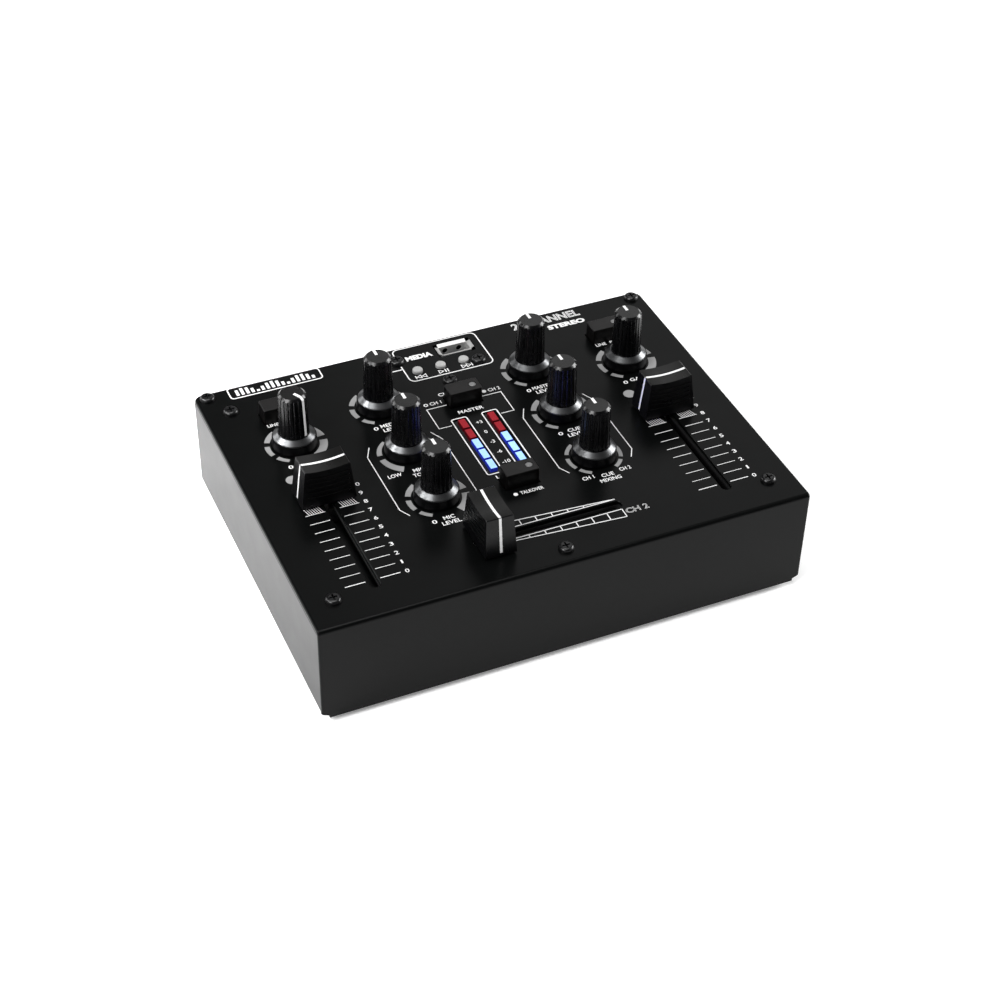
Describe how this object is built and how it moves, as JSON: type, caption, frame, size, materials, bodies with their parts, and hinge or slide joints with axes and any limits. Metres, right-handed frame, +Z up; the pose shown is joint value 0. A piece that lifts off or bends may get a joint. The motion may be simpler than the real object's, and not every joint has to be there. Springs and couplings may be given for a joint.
{
  "type": "dj mixer",
  "caption": "Compact tabletop DJ mixer in a black folded steel case with rotary knobs, channel faders, a crossfader, push switches, a lit level meter and rear sockets.",
  "frame": {"origin": "centre of the whole footprint, rear sockets included, on the surface the feet stand on", "axes": "+Z up through the top panel, +Y to the rear connector panel, +X to the player's right"},
  "size_m": [0.2, 0.157, 0.0712],
  "materials": {
    "case_paint": "fine-textured black powder coat",
    "board": "green solder mask",
    "plated_steel": "nickel-plated steel",
    "track_black": "black phosphate",
    "black_screw": "black oxide",
    "foot_rubber": "matt moulded rubber",
    "black_plastic": "matt moulded plastic",
    "knob_black": "satin moulded plastic",
    "collar_silver": "satin turned metal",
    "shaft_metal": "turned metal",
    "cap_black": "satin-gloss moulded plastic",
    "lever_metal": "plated steel",
    "switch_black": "fine-grained moulded plastic",
    "button_grey": "pale grey moulded plastic",
    "meter_black": "matt black plastic",
    "light_red": "lit diffusing plastic",
    "light_blue": "lit diffusing plastic",
    "socket_metal": "nickel plate",
    "ring_red": "moulded plastic",
    "ring_white": "moulded plastic",
    "print_white": "screen-printed ink",
    "print_grey": "screen-printed ink",
    "lens_grey": "moulded lens"
  },
  "bodies": {
    "case": {"top_panel": "case_paint", "base_tray": "case_paint", "rear_panel": "case_paint", "circuit_board": "board", "spacers": "plated_steel", "machine_screws": "black_screw", "rubber_feet": "foot_rubber", "pot_bodies": "black_plastic", "fader_frames": "track_black", "switch_bodies": "black_plastic", "tact_switches": "black_plastic", "port_shell": "plated_steel", "port_tongue": "black_plastic", "meter_carriers": "meter_black", "meter_lights_red": "light_red", "meter_lights_blue": "light_blue", "phono_blocks": "black_plastic", "phono_barrels": "socket_metal", "phono_rings_red": "ring_red", "phono_rings_white": "ring_white", "jack_sockets": "black_plastic", "dc_inlet": "black_plastic", "ground_posts": "socket_metal"},
    "control_gain_1": {"knob_gain_1": "knob_black", "collar_gain_1": "collar_silver", "shaft_gain_1": "shaft_metal"},
    "control_gain_2": {"knob_gain_2": "knob_black", "collar_gain_2": "collar_silver", "shaft_gain_2": "shaft_metal"},
    "control_player_level": {"knob_player_level": "knob_black", "collar_player_level": "collar_silver", "shaft_player_level": "shaft_metal"},
    "control_mic_tone": {"knob_mic_tone": "knob_black", "collar_mic_tone": "collar_silver", "shaft_mic_tone": "shaft_metal"},
    "control_mic_level": {"knob_mic_level": "knob_black", "collar_mic_level": "collar_silver", "shaft_mic_level": "shaft_metal"},
    "control_master_level": {"knob_master_level": "knob_black", "collar_master_level": "collar_silver", "shaft_master_level": "shaft_metal"},
    "control_cue_level": {"knob_cue_level": "knob_black", "collar_cue_level": "collar_silver", "shaft_cue_level": "shaft_metal"},
    "control_cue_mix": {"knob_cue_mix": "knob_black", "collar_cue_mix": "collar_silver", "shaft_cue_mix": "shaft_metal"},
    "fader_channel_1": {"cap_channel_1": "cap_black", "lever_channel_1": "lever_metal"},
    "fader_channel_2": {"cap_channel_2": "cap_black", "lever_channel_2": "lever_metal"},
    "fader_crossfader": {"cap_crossfader": "cap_black", "lever_crossfader": "lever_metal"},
    "switch_input_1": {"switch_cap_input_1": "switch_black"},
    "switch_input_2": {"switch_cap_input_2": "switch_black"},
    "switch_cue": {"switch_cap_cue": "switch_black"},
    "switch_talkover": {"switch_cap_talkover": "switch_black"},
    "key_previous": {"button_previous": "button_grey"},
    "key_play": {"button_play": "button_grey"},
    "key_next": {"button_next": "button_grey"}
  },
  "joints": [
    {"name": "turn_gain_1", "type": "hinge", "parent": "case", "child": "control_gain_1", "pos_m": [-0.0721, 0.02581, 0.0462], "axis": [0, 0, 1], "range_deg": [0, 300]},
    {"name": "turn_gain_2", "type": "hinge", "parent": "case", "child": "control_gain_2", "pos_m": [0.0721, 0.02581, 0.0462], "axis": [0, 0, 1], "range_deg": [-150, 150]},
    {"name": "turn_player_level", "type": "hinge", "parent": "case", "child": "control_player_level", "pos_m": [-0.03315, 0.03561, 0.0462], "axis": [0, 0, 1], "range_deg": [-150, 150]},
    {"name": "turn_mic_tone", "type": "hinge", "parent": "case", "child": "control_mic_tone", "pos_m": [-0.03315, 0.00511, 0.0462], "axis": [0, 0, 1], "range_deg": [-150, 150]},
    {"name": "turn_mic_level", "type": "hinge", "parent": "case", "child": "control_mic_level", "pos_m": [-0.03315, -0.02539, 0.0462], "axis": [0, 0, 1], "range_deg": [-150, 150]},
    {"name": "turn_master_level", "type": "hinge", "parent": "case", "child": "control_master_level", "pos_m": [0.03315, 0.03561, 0.0462], "axis": [0, 0, 1], "range_deg": [-150, 150]},
    {"name": "turn_cue_level", "type": "hinge", "parent": "case", "child": "control_cue_level", "pos_m": [0.03315, 0.00511, 0.0462], "axis": [0, 0, 1], "range_deg": [-150, 150]},
    {"name": "turn_cue_mix", "type": "hinge", "parent": "case", "child": "control_cue_mix", "pos_m": [0.03315, -0.02539, 0.0462], "axis": [0, 0, 1], "range_deg": [-150, 150]},
    {"name": "slide_channel_1", "type": "slide", "parent": "case", "child": "fader_channel_1", "axis": [0, 1, 0], "range_m": [-0.05155, 0.00155]},
    {"name": "slide_channel_2", "type": "slide", "parent": "case", "child": "fader_channel_2", "axis": [0, 1, 0], "range_m": [-0.05155, 0.00155]},
    {"name": "slide_crossfader", "type": "slide", "parent": "case", "child": "fader_crossfader", "axis": [1, 0, 0], "range_m": [-0.0024, 0.0507]},
    {"name": "press_input_1", "type": "slide", "parent": "case", "child": "switch_input_1", "axis": [0, 0, -1], "range_m": [0, 0.003], "stiffness_N_per_m": 400, "springref_m": -0.0015},
    {"name": "press_input_2", "type": "slide", "parent": "case", "child": "switch_input_2", "axis": [0, 0, -1], "range_m": [0, 0.003], "stiffness_N_per_m": 400, "springref_m": -0.0015},
    {"name": "press_cue", "type": "slide", "parent": "case", "child": "switch_cue", "axis": [0, 0, -1], "range_m": [0, 0.003], "stiffness_N_per_m": 400, "springref_m": -0.0015},
    {"name": "press_talkover", "type": "slide", "parent": "case", "child": "switch_talkover", "axis": [0, 0, -1], "range_m": [0, 0.003], "stiffness_N_per_m": 400, "springref_m": -0.0015},
    {"name": "press_previous", "type": "slide", "parent": "case", "child": "key_previous", "axis": [0, 0, -1], "range_m": [0, 0.0004], "stiffness_N_per_m": 1500, "springref_m": -0.0002},
    {"name": "press_play", "type": "slide", "parent": "case", "child": "key_play", "axis": [0, 0, -1], "range_m": [0, 0.0004], "stiffness_N_per_m": 1500, "springref_m": -0.0002},
    {"name": "press_next", "type": "slide", "parent": "case", "child": "key_next", "axis": [0, 0, -1], "range_m": [0, 0.0004], "stiffness_N_per_m": 1500, "springref_m": -0.0002}
  ]
}
